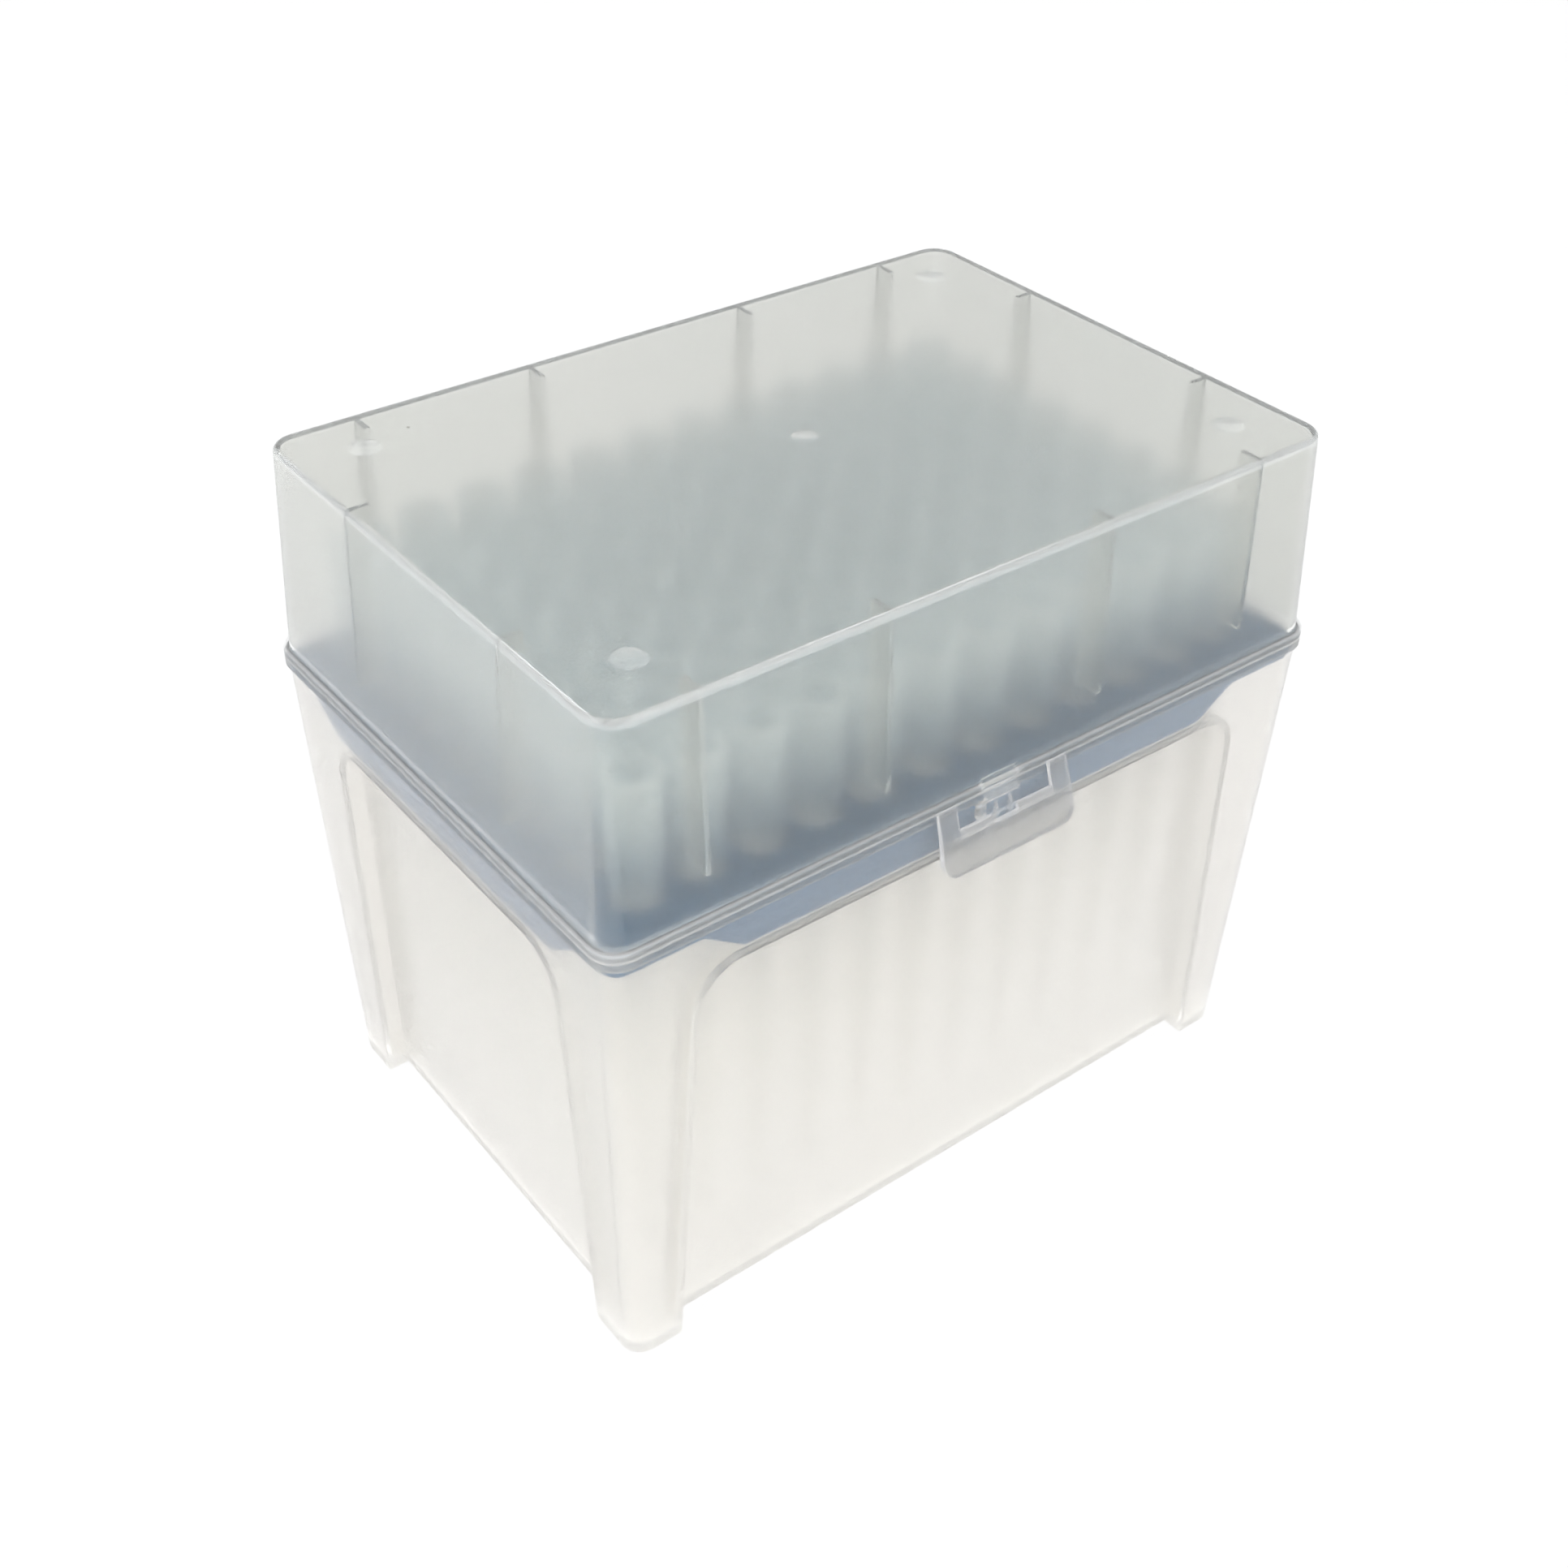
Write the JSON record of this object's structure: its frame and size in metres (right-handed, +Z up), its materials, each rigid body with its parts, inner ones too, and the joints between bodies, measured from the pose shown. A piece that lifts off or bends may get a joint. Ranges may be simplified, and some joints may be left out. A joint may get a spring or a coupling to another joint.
{
  "type": "pipette tip box",
  "caption": "Hinged lidded box of frosted plastic that holds a rack of pipette tips in a regular grid, closed by a front latch.",
  "frame": {"origin": "under the middle of the bounding box, at the level of the feet", "axes": "+X along the long side, -Y out of the front where the latch is, +Z up"},
  "size_m": [0.1206, 0.0912, 0.1068],
  "materials": {
    "base_plastic": "satin, translucent",
    "rack_plastic": "satin",
    "lid_plastic": "smooth, cloudy, translucent",
    "latch_plastic": "smooth, cloudy, translucent",
    "tip_plastic": "smooth, translucent"
  },
  "bodies": {
    "base": {"base_tub": "base_plastic", "tip_rack": "rack_plastic", "tips_column_01": "tip_plastic", "tips_column_02": "tip_plastic", "tips_column_03": "tip_plastic", "tips_column_04": "tip_plastic", "tips_column_05": "tip_plastic", "tips_column_06": "tip_plastic", "tips_column_07": "tip_plastic", "tips_column_08": "tip_plastic", "tips_column_09": "tip_plastic", "tips_column_10": "tip_plastic", "tips_column_11": "tip_plastic", "tips_column_12": "tip_plastic"},
    "lid": {"lid": "lid_plastic"},
    "latch": {"latch": "latch_plastic"}
  },
  "joints": [
    {"name": "lid_hinge", "type": "hinge", "parent": "base", "child": "lid", "pos_m": [0, 0.04367, 0.07485], "axis": [-1, 0, 0], "range_deg": [0, 105]},
    {"name": "latch_hinge", "type": "hinge", "parent": "lid", "child": "latch", "pos_m": [0, -0.04265, 0.0748], "axis": [-1, 0, 0], "range_deg": [-5, 100], "stiffness_Nm_per_rad": 0.005}
  ]
}
